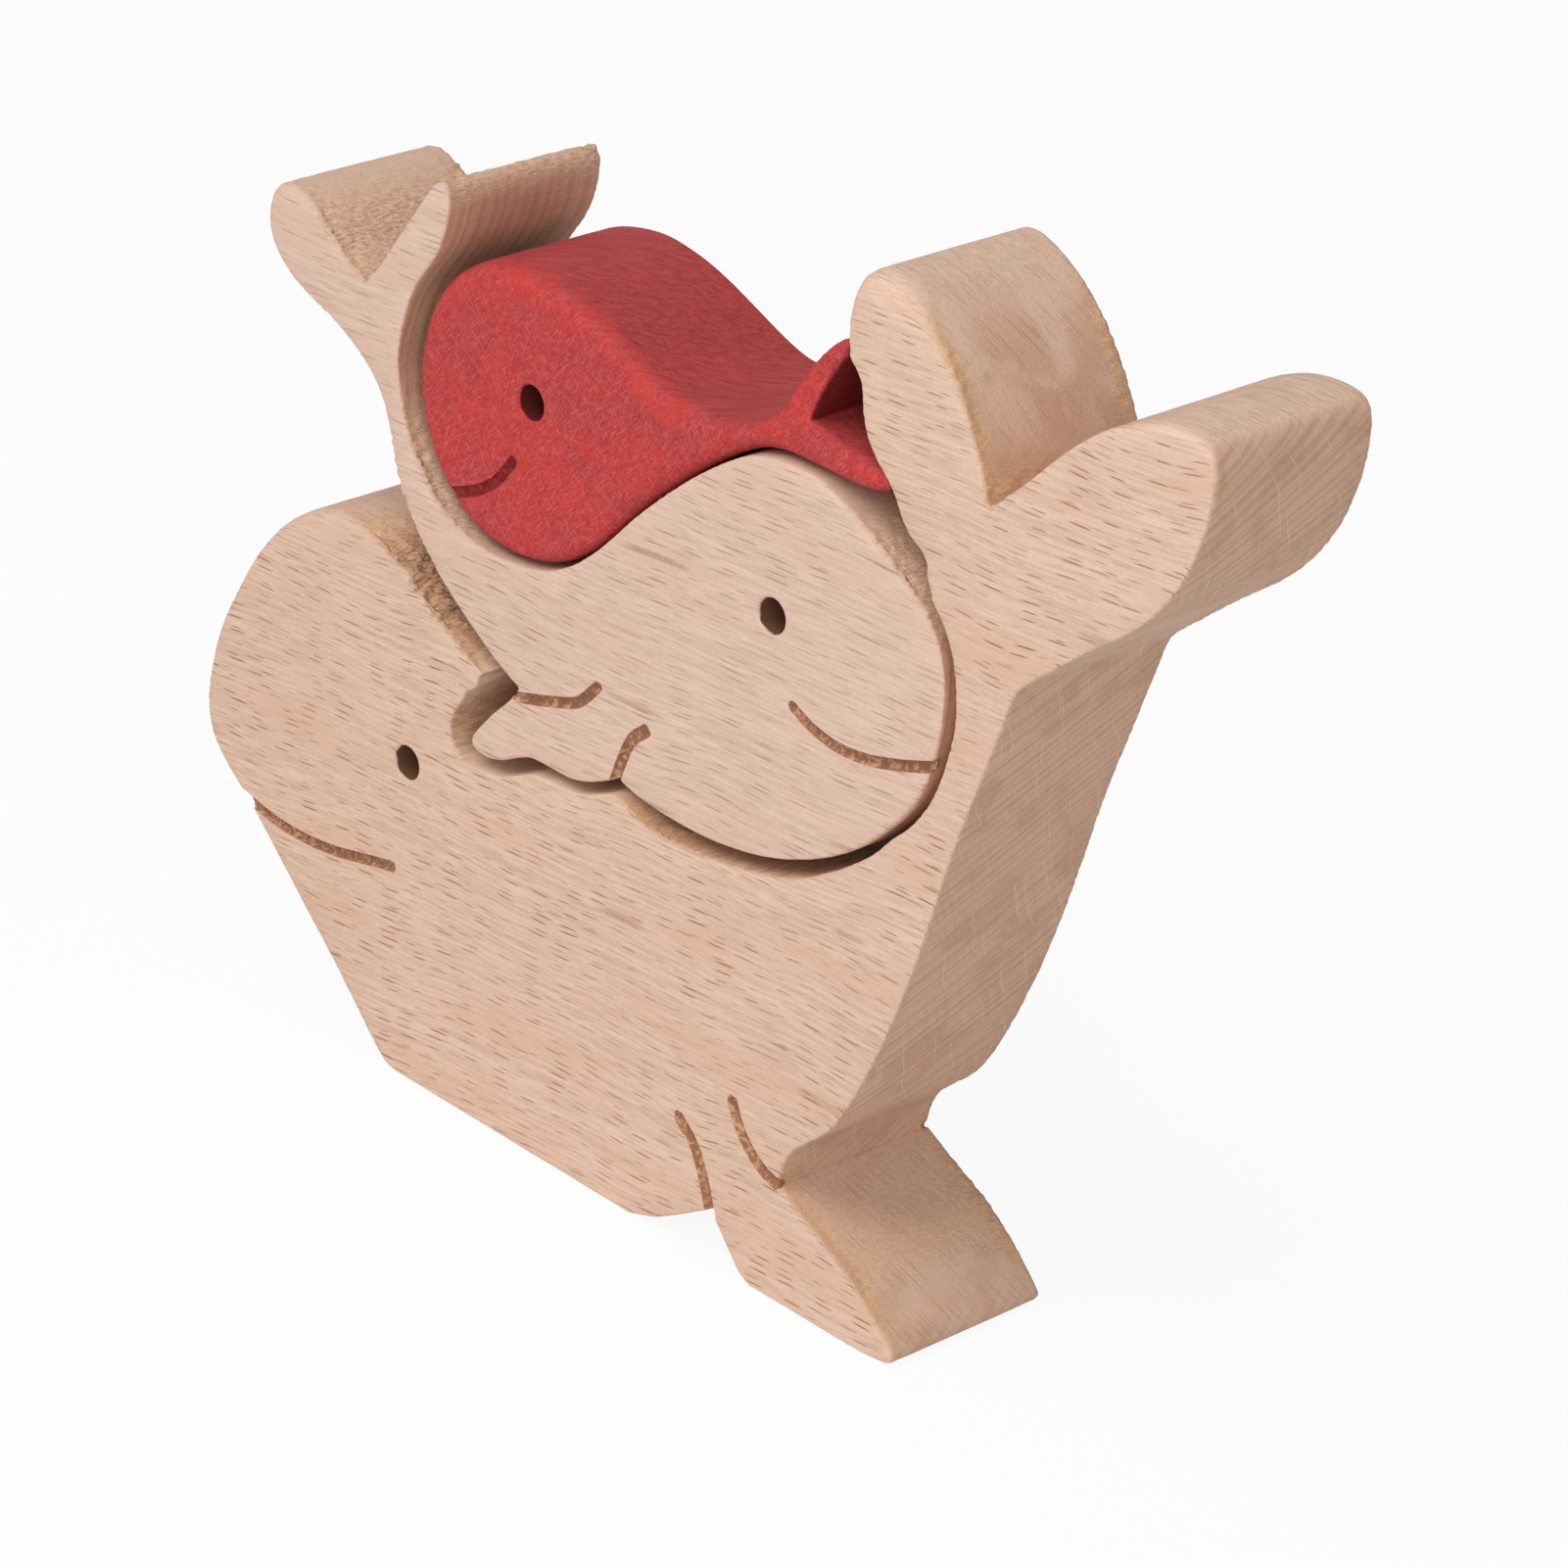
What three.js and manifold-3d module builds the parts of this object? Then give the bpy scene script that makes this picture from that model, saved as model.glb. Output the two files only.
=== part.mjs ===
// Nesting wooden whales: a small stained whale lies in the back of a medium beech whale,
// which lies in the back of a big beech whale that stands on its belly and its fin.
// Millimetres, +Z up, front faces towards -Y, the big whale's tail towards +X,
// origin on the ground under the middle of the big whale.
import * as THREE from "three";
import { mergeVertices } from "three/addons/utils/BufferGeometryUtils.js";
import Module from "manifold-3d";

const wasm = await Module();
wasm.setup();

// Small whale: overall size, board thickness and rounding of its edges
const smallLength = 88.7;
const smallHeight = 51.2;
const smallThickness = 26;
const smallEdge = 0.6;

// Medium whale, and where the small whale lies in it: its nose behind the end of the tail,
// and the tip of its fluke over the top of the tail
const mediumLength = 133.5;
const mediumHeight = 78.9;
const mediumThickness = 27;
const mediumEdge = 0.6;
const smallFromTail = 31.6;
const smallOverTail = 3.4;

// Big whale, and how far it reaches past the medium whale at its nose and at its tail
const noseReach = 8.2;
const tailReach = 39.8;
const bigHeight = 147.6;
const bigThickness = 28;
const bigEdge = 0.6;
const mediumAboveGround = 54.5;
const bigLength = noseReach + mediumLength + tailReach;

// Gap around the small whale, going round it from its crown
const smallCrownGap = 2.8;
const smallNoseGap = 3.5;
const smallChinGap = 2.1;
const smallBellyGap = 0.8;
const smallSeatGap = 0.4;
const smallFlukeGap = 0.9;

// Gap around the medium whale, going round it from its tail
const mediumTailGap = 5;
const mediumBackGap = 3.3;
const mediumFinTopGap = 4;
const mediumFinTipGap = 3.4;
const mediumFinHeelGap = 1.6;
const mediumFinBellyGap = 1.1;
const mediumBellyGap = 2.2;
const mediumSeatGap = 0.4;
const mediumFaceGap = 2.1;
const mediumBrowGap = 2.5;

// Drilled eyes, and the round-ended lines that are cut into both faces
const eyeDiameter = 5;
const grooveWidth = 1.7;
const grooveDepth = 0.9;

// How far cutters run past a face, and how finely curves are cut up
const cutOverrun = 1;
const stepsPerPoint = 2;
const edgeSteps = 2;
const eyeSides = 24;
const grooveSteps = 8;
const grooveEndSteps = 5;

// How far a point of a room may come short of its gap before it counts as a fold and drops out
const foldSlack = 0.05;

// Drawings of the whales in front view, as [across, up]. An outline runs counterclockwise in
// stretches, smooth within a stretch and with a corner between two of them. Each drawing is
// stretched to its whale's length and height. Fit gives the gap at places around the outline.
const smallDrawing = {
  outline: [
    // All round, from the notch of the fluke over its upper lobe to its lower lobe
    [
      [23.2, 124.3], [24.2, 127], [25.9, 130.6], [27.6, 133.4], [29, 135.5], [28.4, 136.8], [26.6, 136],
      [24.4, 134], [22, 131], [19.6, 127.3], [17.2, 123.8], [14, 121], [9, 118.9], [3, 118], [-3, 118.2],
      [-9, 120], [-16, 122.8], [-23, 125], [-30, 125.9], [-36, 125.2], [-41, 123.5], [-45, 120.7],
      [-48.4, 116.2], [-50.2, 110.8], [-50.7, 105.5], [-49.9, 100.2], [-47.6, 95], [-43.6, 90.2],
      [-38.6, 87], [-33, 85.7], [-27.5, 85.8], [-22.5, 87], [-17.5, 89.8], [-12.4, 94.3], [-8.3, 98.8],
      [-4.3, 102.9], [-0.3, 106.6], [3.7, 110], [7.7, 113], [11.8, 115.6], [15.8, 117.3], [20, 118.1],
      [26, 118.3], [32, 118.3], [36.4, 119], [38, 120.4], [36.8, 121.7], [33, 122.3], [28, 123.1],
      [23.2, 124.3],
    ],
  ],
  eye: [-28.1, 108.3],
  grooves: [
    [[-43, 90], [-37.2, 92.6], [-33.8, 95.2], [-31, 98.9]],
  ],
  fit: [
    [-45, 120.7, smallCrownGap],
    [-50.7, 105.5, smallNoseGap],
    [-43.6, 90.2, smallChinGap],
    [-30, 85.6, smallBellyGap],
    [-12.4, 94.3, smallSeatGap],
    [11.8, 115.6, smallSeatGap],
    [26, 118.3, smallFlukeGap],
    [29, 135.5, smallFlukeGap],
  ],
};

const mediumDrawing = {
  outline: [
    // Left lobe of the fluke, tail and back, down to the fin
    [
      [-62, 114.3], [-65.3, 116.4], [-69.3, 119.1], [-73.5, 121.6], [-77.5, 122.8], [-80.6, 122],
      [-82.1, 119.3], [-82.1, 115.8], [-80.2, 112.5], [-76, 109.5], [-71, 107.6], [-66.5, 106],
      [-62.6, 104], [-59.3, 101.6], [-57, 98.8], [-55.3, 95], [-54, 90.6], [-52.2, 86.8], [-49.4, 83.2],
      [-46, 79.6], [-42, 76.3], [-37, 73], [-32, 69.9], [-26.9, 67.4],
    ],
    // Fin
    [
      [-26.9, 67.4], [-29, 64.8], [-31.6, 62.2], [-34, 59.4], [-35.7, 56.9], [-35.4, 55.2], [-33.2, 54.5],
      [-30, 54.8], [-26.6, 56.3], [-23.2, 57.7], [-19, 58], [-14.6, 58.4], [-10.4, 60], [-6.3, 62.2],
    ],
    // Belly, cheek, face and crown
    [
      [-6.3, 62.2], [-2, 61.1], [4, 60.6], [10, 60.6], [16, 61.2], [22, 62.4], [28, 64.5], [34, 67.4],
      [39.5, 71], [44, 75.1], [47.4, 79.4], [49.7, 84.2], [50.9, 89.4], [51.2, 94.4], [50.6, 99.2],
      [49, 103.4], [46, 107], [41.6, 110.1], [36.6, 112.8], [31.4, 115.3], [26, 117.2], [20.6, 117.9],
      [14, 118.4],
    ],
    // Through the small whale
    [[14, 118.4], [4, 113]],
    [[4, 113], [-15, 105]],
    [[-15, 105], [-40, 100]],
    [[-40, 100], [-51, 110]],
    // Inner side of the tail, and the right lobe of the fluke
    [
      [-51, 110], [-50.4, 113.6], [-49.2, 117], [-47.9, 120], [-46.8, 123], [-46.1, 126], [-45.6, 129],
      [-45.5, 131.6], [-46.7, 133.4], [-48.6, 132.6], [-50.7, 129.9], [-53.4, 125.8], [-56.2, 121.7],
      [-59, 117.6], [-62, 114.3],
    ],
  ],
  eye: [19.7, 96],
  grooves: [
    [[24.8, 85.2], [28.5, 83.7], [33, 82.9], [38.5, 83.3], [44.5, 84.9], [52.5, 87.8]],
    [[-26.9, 66.1], [-20, 68.2], [-15, 70.1], [-11.4, 73.7]],
    [[-7, 61.6], [-5.6, 65.8], [-4.1, 69], [-1.8, 71.1]],
  ],
  fit: [
    [-50.8, 85, mediumTailGap],
    [-34.5, 71.4, mediumBackGap],
    [-32.8, 60.8, mediumFinTopGap],
    [-35.7, 56.9, mediumFinTipGap],
    [-33.2, 54.5, mediumFinHeelGap],
    [-19, 58, mediumFinBellyGap],
    [4, 60.6, mediumBellyGap],
    [28, 64.5, mediumBellyGap],
    [44, 75.1, mediumSeatGap],
    [51.2, 94.4, mediumFaceGap],
    [46, 107, mediumBrowGap],
  ],
};

const bigDrawing = {
  outline: [
    // Flat belly, and its rise to the notch in front of the fin
    [[-46.5, 0], [2, 0]],
    [[2, 0], [7, 1.6], [12.5, 4.7], [17.6, 7.8]],
    // Fin, with its flat foot
    [[17.6, 7.8], [20, 5.1], [22.5, 2.3], [24, 0.9], [26, 0]],
    [[26, 0], [49.5, 0]],
    [
      [49.5, 0], [51.6, 0.3], [52.8, 1.4], [52.3, 2.7], [50, 5], [46, 8.5], [41, 11.8], [36, 14.1],
      [29.8, 17.1],
    ],
    // Back of the body
    [
      [29.8, 17.1], [30.3, 20], [31.8, 23.2], [34.7, 26], [37.8, 28.9], [40.2, 32.4], [43, 38], [46, 45.2],
      [48.6, 52.5], [50.9, 60], [53.2, 68.4], [55.5, 77.4], [58, 85.9], [60.6, 94.3], [63.3, 102.6],
    ],
    // Right lobe of the fluke
    [
      [63.3, 102.6], [64.9, 104.3], [68.4, 107.3], [73.4, 111.6], [78.5, 115.6], [82.5, 119.2],
      [85.9, 123.4], [88.6, 128.5], [90.4, 134.4], [91, 139.5], [90.7, 142.8], [89.3, 144.7], [86.3, 145.3],
      [82, 145], [77.5, 143.5], [73, 141], [68.5, 137.4], [63.5, 132.3], [59.5, 128.2], [55.6, 124.6],
    ],
    // Left lobe of the fluke
    [
      [55.6, 124.6], [54.4, 127.8], [52.6, 131.7], [49.8, 136.2], [46.5, 140.3], [42.5, 143.8],
      [38.2, 146.3], [34.4, 147.6], [31.6, 147.2], [29.9, 145.4], [29.4, 141.9], [29.5, 138.2],
      [29.9, 135.4], [31.3, 134], [32.4, 132.4], [32.8, 130.2], [33.6, 127.4], [35.2, 124.7],
      [37.4, 122.6], [39.4, 120.6], [41, 118.1], [42.8, 116], [44.6, 115], [45.9, 113.8], [46.4, 111.8],
      [47.4, 109.6],
    ],
    // Through the medium whale
    [[47.4, 109.6], [42, 104]],
    [[42, 104], [25, 92]],
    [[25, 92], [0, 82]],
    [[0, 82], [-20, 76]],
    [[-20, 76], [-40, 80.5]],
    [[-40, 80.5], [-46, 74.6]],
    // Brow, nose and throat
    [
      [-46, 74.6], [-50, 76.8], [-54, 78.2], [-59, 79.2], [-64.6, 79.2], [-70.2, 77.5], [-75.8, 73.5],
      [-81, 67.3], [-85.3, 60], [-88.4, 53], [-90, 46.4], [-90.5, 40.8], [-89.3, 36.2], [-85.8, 32.3],
      [-80.9, 28.8], [-74.4, 23.2], [-67.4, 17], [-60, 10.6], [-52.5, 3.4], [-49, 0.6], [-46.5, 0],
    ],
  ],
  eye: [-47.6, 48],
  grooves: [
    [[-82.5, 29.2], [-75, 28], [-69, 27.8], [-62, 28.5], [-55.5, 29.9], [-49.7, 31.2]],
    [[20.3, 25.4], [22, 22.3], [24.3, 19.8], [27, 18.1], [30.6, 17]],
    [[10.6, 18.6], [13.5, 16.1], [15.7, 12.4], [17.7, 7.2]],
  ],
  fit: [],
};

// Points along the stretches of an outline, with each corner taken once
function pointsAlong(stretches) {
  return stretches.flatMap((stretch) => {
    const curve = new THREE.SplineCurve(stretch.map(([across, up]) => new THREE.Vector2(across, up)));
    const steps = stretch.length === 2 ? 1 : (stretch.length - 1) * stepsPerPoint;
    return curve.getPoints(steps).slice(0, -1);
  });
}

// A drawing stretched to its real size, with the lower left corner of its box at left and bottom
function placeDrawing(drawing, left, bottom, length, height) {
  const outline = pointsAlong(drawing.outline);
  const box = new THREE.Box2().setFromPoints(outline);
  const size = box.getSize(new THREE.Vector2());
  const place = (across, up) =>
    new THREE.Vector2(
      left + ((across - box.min.x) / size.x) * length,
      bottom + ((up - box.min.y) / size.y) * height,
    );
  return {
    outline: outline.map((point) => place(point.x, point.y)),
    eye: place(...drawing.eye),
    grooves: drawing.grooves.map((line) => line.map(([across, up]) => place(across, up))),
    fit: drawing.fit.map(([across, up, gap]) => ({ point: place(across, up), gap })),
  };
}

// Distance from a point to a closed outline
function distanceToOutline(point, outline) {
  const distances = outline.map((start, i) => {
    const edge = outline[(i + 1) % outline.length].clone().sub(start);
    const share = point.clone().sub(start).dot(edge) / edge.lengthSq();
    return start.clone().addScaledVector(edge, THREE.MathUtils.clamp(share, 0, 1)).distanceTo(point);
  });
  return Math.min(...distances);
}

// Number of the outline's point that lies nearest to a place
function nearestPoint(outline, place) {
  const distances = outline.map((point) => point.distanceTo(place));
  return distances.indexOf(Math.min(...distances));
}

// The room that a whale needs in a larger one: its outline moved outwards by the gaps of its fit
function roomAround({ outline, fit }) {
  const count = outline.length;
  const stops = fit.map(({ point, gap }) => ({ at: nearestPoint(outline, point), gap }));
  stops.sort((a, b) => a.at - b.at);
  const gapAt = (i) => {
    const before = stops.findLast((stop) => stop.at <= i) ?? stops.at(-1);
    const after = stops.find((stop) => stop.at > i) ?? stops[0];
    const span = (after.at - before.at + count) % count;
    const share = ((i - before.at + count) % count) / span;
    return THREE.MathUtils.lerp(before.gap, after.gap, share);
  };
  const moved = outline.map((point, i) => {
    const before = outline.at(i - 1);
    const after = outline[(i + 1) % count];
    const outward = new THREE.Vector2(after.y - before.y, before.x - after.x).normalize();
    return { point: point.clone().addScaledVector(outward, gapAt(i)), gap: gapAt(i) };
  });
  const kept = moved.filter(({ point, gap }) => distanceToOutline(point, outline) > gap - foldSlack);
  return kept.map(({ point }) => point);
}

// The outline of a line of the groove's width with round ends
function grooveOutline(line) {
  const curve = new THREE.SplineCurve(line);
  const radius = grooveWidth / 2;
  const around = (centre, angle) =>
    new THREE.Vector2(radius, 0).rotateAround(new THREE.Vector2(), angle).add(centre);
  const rightSide = [];
  const leftSide = [];
  for (let step = 0; step <= grooveSteps; step++) {
    const centre = curve.getPointAt(step / grooveSteps);
    const heading = curve.getTangentAt(step / grooveSteps).angle();
    rightSide.push(around(centre, heading - Math.PI / 2));
    leftSide.unshift(around(centre, heading + Math.PI / 2));
  }
  const roundEnd = (share, turned) => {
    const heading = curve.getTangentAt(share).angle() + turned - Math.PI / 2;
    const centre = curve.getPointAt(share);
    const points = [];
    for (let step = 1; step < grooveEndSteps; step++) {
      points.push(around(centre, heading + (Math.PI * step) / grooveEndSteps));
    }
    return points;
  };
  return [...rightSide, ...roundEnd(1, 0), ...leftSide, ...roundEnd(0, Math.PI)];
}

// A closed geometry as a solid that can be joined and cut
function toSolid(geometry) {
  const bare = geometry.clone();
  bare.deleteAttribute("normal");
  bare.deleteAttribute("uv");
  const merged = mergeVertices(bare);
  return new wasm.Manifold(
    new wasm.Mesh({
      numProp: 3,
      vertProperties: merged.attributes.position.array,
      triVerts: new Uint32Array(merged.index.array),
    }),
  );
}

// A board of an outline, its thickness centred on a depth, with rounded edges
function board(outline, thickness, depth = 0, edge = 0) {
  const geometry = new THREE.ExtrudeGeometry(new THREE.Shape(outline), {
    depth: thickness - 2 * edge,
    bevelEnabled: edge > 0,
    bevelThickness: edge,
    bevelSize: edge,
    bevelOffset: -edge,
    bevelSegments: edgeSteps,
  });
  geometry.translate(0, 0, depth + edge - thickness / 2);
  return toSolid(geometry);
}

// A whale: its board, with the rooms of the whales in it, its eye and its lines cut out
function carveWhale(whale, thickness, edge, rooms) {
  let solid = board(whale.outline, thickness, 0, edge);
  for (const room of rooms) {
    solid = solid.subtract(board(room, thickness + 2 * cutOverrun));
  }
  const drill = new THREE.CylinderGeometry(
    eyeDiameter / 2,
    eyeDiameter / 2,
    thickness + 2 * cutOverrun,
    eyeSides,
  );
  drill.rotateX(Math.PI / 2);
  drill.translate(whale.eye.x, whale.eye.y, 0);
  solid = solid.subtract(toSolid(drill));
  for (const line of whale.grooves) {
    for (const face of [thickness / 2, -thickness / 2]) {
      solid = solid.subtract(board(grooveOutline(line), 2 * grooveDepth, face));
    }
  }
  return solid;
}

function namedMesh(name, solid, material) {
  const { vertProperties, triVerts } = solid.getMesh();
  const geometry = new THREE.BufferGeometry();
  geometry.setAttribute("position", new THREE.BufferAttribute(vertProperties, 3));
  geometry.setIndex(new THREE.BufferAttribute(triVerts, 1));
  geometry.computeVertexNormals();
  const mesh = new THREE.Mesh(geometry, material);
  mesh.name = name;
  return mesh;
}

// Places, from the ground and the big whale's nose up to the small whale
const noseX = -bigLength / 2;
const mediumX = noseX + noseReach;
const smallX = mediumX + smallFromTail;
const smallAboveGround = mediumAboveGround + mediumHeight + smallOverTail - smallHeight;
const big = placeDrawing(bigDrawing, noseX, 0, bigLength, bigHeight);
const medium = placeDrawing(mediumDrawing, mediumX, mediumAboveGround, mediumLength, mediumHeight);
const small = placeDrawing(smallDrawing, smallX, smallAboveGround, smallLength, smallHeight);

const smallRoom = roomAround(small);
const mediumRoom = roomAround(medium);

const beech = new THREE.MeshStandardMaterial({ color: 0xd9b999, roughness: 0.7, metalness: 0 });
const redStain = new THREE.MeshStandardMaterial({ color: 0xb93b3c, roughness: 0.65, metalness: 0 });

const bigSolid = carveWhale(big, bigThickness, bigEdge, [mediumRoom, smallRoom]);
const mediumSolid = carveWhale(medium, mediumThickness, mediumEdge, [smallRoom]);
const smallSolid = carveWhale(small, smallThickness, smallEdge, []);

// The drawings lie flat, so the whole set is turned up to stand
const whales = new THREE.Group();
whales.rotation.x = Math.PI / 2;
whales.add(namedMesh("big_whale", bigSolid, beech));
whales.add(namedMesh("medium_whale", mediumSolid, beech));
whales.add(namedMesh("small_whale", smallSolid, redStain));

const part = new THREE.Group();
part.add(whales);

export default part;
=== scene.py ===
import math

import bmesh
import bpy
import numpy as np
from mathutils import Matrix, Vector, noise
from mathutils.geometry import delaunay_2d_cdt


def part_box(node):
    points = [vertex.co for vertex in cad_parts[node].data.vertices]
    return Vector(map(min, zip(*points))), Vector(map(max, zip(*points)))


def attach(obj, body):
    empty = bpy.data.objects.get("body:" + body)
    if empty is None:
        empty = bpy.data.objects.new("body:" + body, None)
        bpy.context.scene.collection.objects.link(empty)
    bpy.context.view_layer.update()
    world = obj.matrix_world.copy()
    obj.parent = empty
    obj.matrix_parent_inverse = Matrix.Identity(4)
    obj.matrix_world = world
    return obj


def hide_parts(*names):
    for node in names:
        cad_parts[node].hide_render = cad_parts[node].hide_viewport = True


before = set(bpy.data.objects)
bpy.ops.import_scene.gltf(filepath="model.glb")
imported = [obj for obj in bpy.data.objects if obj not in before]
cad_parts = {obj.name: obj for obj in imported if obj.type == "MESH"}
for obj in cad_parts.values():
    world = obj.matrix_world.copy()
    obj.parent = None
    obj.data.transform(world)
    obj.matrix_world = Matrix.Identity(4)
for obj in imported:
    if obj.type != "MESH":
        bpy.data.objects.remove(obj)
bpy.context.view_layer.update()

# Lengths in this script are millimetres in the frame's axes, and this turns them into metres
MM = 0.001

# Radius of the sanded edges, then the places of the front edge that are rounder or crisper than the
# rest, as (across, up, radius, reach)
BIG_EDGE = 0.4
BIG_SOFT_PLACES = [
    (36, 147, 4.4, 8),
    (30, 139, 0.5, 4.5),
    (47, 141, 1.0, 5),
    (-71, 77, 2.4, 9),
    (-84, 62, 1.0, 12),
    (82, 145, 1.6, 10),
    (51, 1, 1.2, 4),
    (-37, 59, 0.2, 9),
    (-20, 56, 0.2, 10),
]
MEDIUM_EDGE = 0.4
MEDIUM_SOFT_PLACES = [
    (-79, 122, 1.3, 8),
    (45, 77, 0.8, 13),
    (-34, 56, 0.9, 8),
    (34, 111, 0.8, 8),
]
SMALL_EDGE = 1.6
SMALL_SOFT_PLACES = [
    (-33, 119, 4.0, 12),
    (-9, 120, 3.0, 16),
    (13, 116, 2.4, 10),
    (-6, 102, 2.4, 12),
    (-20, 90, 2.0, 10),
    (24, 124, 0.5, 4.5),
    (26, 128, 0.6, 4),
    (28, 135, 1.0, 4),
]

# Corners of the outlines that are sanded round, as (across, up, reach)
MEDIUM_SOFT_CORNERS = [(-47, 122.4, 6)]

# Stretches of wall where the saw tore the fibres, as (across, up, reach, depth, share), with the
# share of the tearing that goes all the way through and doesn't keep to the rims
BIG_TORN_PLACES = [
    (41, 12, 14, 0.3, 0.45),
    (31, 19, 3, 0.2, 0.3),
    (-48, 75, 14, 1.0, 1.0),
    (-40, 67, 5, 0.9, 1.0),
    (1, 58, 7, 0.6, 1.0),
    (55, 126, 2.5, 0.5, 0.7),
    (50, 136, 12, 0.3, 0.1),
]
MEDIUM_TORN_PLACES = [
    (-68, 119, 10, 0.7, 0.7),
    (-47, 133, 3.5, 0.4, 0.7),
    (-47, 90, 12, 0.6, 0.6),
    (39, 107, 10, 0.6, 0.9),
]

# Where a little more was taken off for an easy fit, as (across, up, reach, depth)
BIG_EASED_PLACES = [(-24, 55.5, 9, 0.35), (3, 58.6, 8, 0.3), (48, 75, 12, 0.3)]
MEDIUM_EASED_PLACES = [(-24, 57.3, 9, 0.6), (46, 76, 11, 0.5), (54, 90, 8, 0.4)]

# Stretches of wall that were sanded until their rings went cloudy, as (across, up, reach); their
# pale tone is laid on strongly enough to also paint light onto the fin top where the tail shades it
BIG_CLOUDY_PLACES = [(45, 142, 17), (44, 9, 9)]

# Where the wall that a whale lies in was smoothed again, which takes off its saw marks, and gets a
# pale tone that paints light into the shade of the slots, as (across, up, reach)
BIG_SMOOTHED_PLACES = [(-35, 65, 5), (-29, 53, 7), (-18, 57, 8), (-9, 59, 4)]

# Lines cut into the faces, as half a line's width and its points (across, up)
BIG_LINES = [
    (0.8, [(-82.7, 29.2), (-75.2, 28), (-69.2, 27.8), (-62.2, 28.5), (-55.7, 29.9), (-49.9, 31.2)]),
    (1.0, [(20, 25.4), (21.7, 22.3), (24, 19.8), (26.7, 18.1), (28.8, 17.4)]),
    (1.0, [(10.3, 18.6), (13.2, 16.1), (15.4, 12.4), (17.4, 7.2)]),
]
MEDIUM_LINES = [
    (0.8, [(24.6, 85.2), (28.3, 83.7), (32.8, 82.9), (38.3, 83.3), (44.3, 84.9), (52.3, 87.8)]),
    (0.8, [(-27.1, 66.1), (-20.2, 68.2), (-15.2, 70.1), (-11.6, 73.7)]),
    (0.9, [(-7.2, 61.6), (-5.8, 65.8), (-4.3, 69), (-2, 71.1)]),
]
SMALL_LINES = [
    (0.8, [(-43.2, 90), (-37.4, 92.6), (-34, 95.2), (-31.2, 98.9)]),
]
LINE_DEPTH = 0.9
LINE_RAGGEDNESS = 0.1

# Profile of a cut line: how square its bottom is and how steep its sides are
LINE_SQUARENESS = 4
LINE_STEEPNESS = 0.6

# Eyes: the sanded rim, how ragged the drill left it, rings of points round it as shares of the rim,
# and how much of the drilled wall is end grain
EYE_EDGE = 0.3
EYE_RAGGEDNESS = 0.035
EYE_RINGS = (0.5, 1, 2.4)
EYE_END_GRAIN = 0.6

# How finely the meshes are cut up
WELD = 0.001
OUTLINE_STEP = 0.42
FACE_GRID = 2.4
LINE_STEP = 0.3
LINE_SIDES = (0, 0.4, 0.7, 0.9, 1.08, 1.35, 1.9)
EDGE_ANGLES = (25, 45, 65, 90)
EDGE_STEP = 0.1
WALL_RINGS = 36
EYE_SIDES = 56
EYE_DEPTHS = (0.01, 0.03, 0.1, 0.25, 0.5, 0.75, 0.9, 0.97, 0.99)
SHARP_ANGLE = math.radians(42)
BATCH = 400

# How far the points of a face keep from its outline, its eye, its lines and each other
OUTLINE_CLEARANCE = 0.05
EYE_CLEARANCE = 0.05
POINT_CLEARANCE = 0.09
GRID_FROM_EDGE = 0.8
GRID_FROM_EYE = 1.6
GRID_FROM_LINE = 2.6

# What counts as a corner or a straight run when a faceted outline is made smooth
CORNER_TURN = math.radians(38)
STRAIGHT_TURN = math.radians(0.4)
STRAIGHT_RUN = 10
CURVE_CUTS = 10
CORNER_PASSES = 50

# Unevenness left by the saw and the sanding: its depths, how far it reaches from a rim or from a
# neighbour, and the sizes of its bumps
RIM_FUZZ = 0.14
SAW_DEPTH = 0.05
SANDING_SHARE = 0.25
RIM_WIDTH = 0.5
RIM_CARRY = 1.4
RIM_TEARING = 2.2
# Painted highlight along upward-facing front ridges: how far in from the outline it peaks and how
# far it reaches
WORN_MIDDLE = 2
WORN_REACH = 3.2
BED_REACH = 9
BED_FADE = 2
BED_FACING = 0.3
SANDING_BUMPS = 9
TEARING_BUMPS = 5
RIM_BUMPS = 0.8
WALL_BUMPS = 1.1
SAW_BUMPS = 1.2
SAW_SLANT = (1, 0.15)
LINE_BUMPS = 0.5
EYE_BUMPS = 0.4
HAIR_ANGLES = (0.75, 1.1, 2.3)


# Outlines

def cross_section(node):
    """Closed loops of a solid's outline halfway through its thickness, as (across, up)."""
    mesh = bmesh.new()
    mesh.from_mesh(node.data)
    bmesh.ops.remove_doubles(mesh, verts=mesh.verts, dist=WELD * MM)
    everything = [*mesh.verts, *mesh.edges, *mesh.faces]
    cut = bmesh.ops.bisect_plane(mesh, geom=everything, plane_co=(0, 0, 0), plane_no=(0, 1, 0))
    edges = {piece for piece in cut["geom_cut"] if isinstance(piece, bmesh.types.BMEdge)}
    loops = []
    while edges:
        first = edges.pop()
        here = first.verts[1]
        loop = [first.verts[0], here]
        following = next((edge for edge in here.link_edges if edge in edges), None)
        while following is not None:
            edges.remove(following)
            here = following.other_vert(here)
            loop.append(here)
            following = next((edge for edge in here.link_edges if edge in edges), None)
        loops.append(tidy_loop(np.array([(v.co.x, v.co.z) for v in loop[:-1]]) / MM))
    mesh.free()
    return sorted(loops, key=signed_area, reverse=True)


def signed_area(loop):
    following = np.roll(loop, -1, axis=0)
    return 0.5 * np.sum(loop[:, 0] * following[:, 1] - loop[:, 1] * following[:, 0])


def tidy_loop(loop):
    """The loop counterclockwise, from its leftmost point, without points on straight runs."""
    if signed_area(loop) < 0:
        loop = loop[::-1]
    loop = np.roll(loop, -int(np.argmin(loop[:, 0] + 1e-3 * loop[:, 1])), axis=0)
    return loop[np.abs(turns(loop)) > STRAIGHT_TURN]


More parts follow.
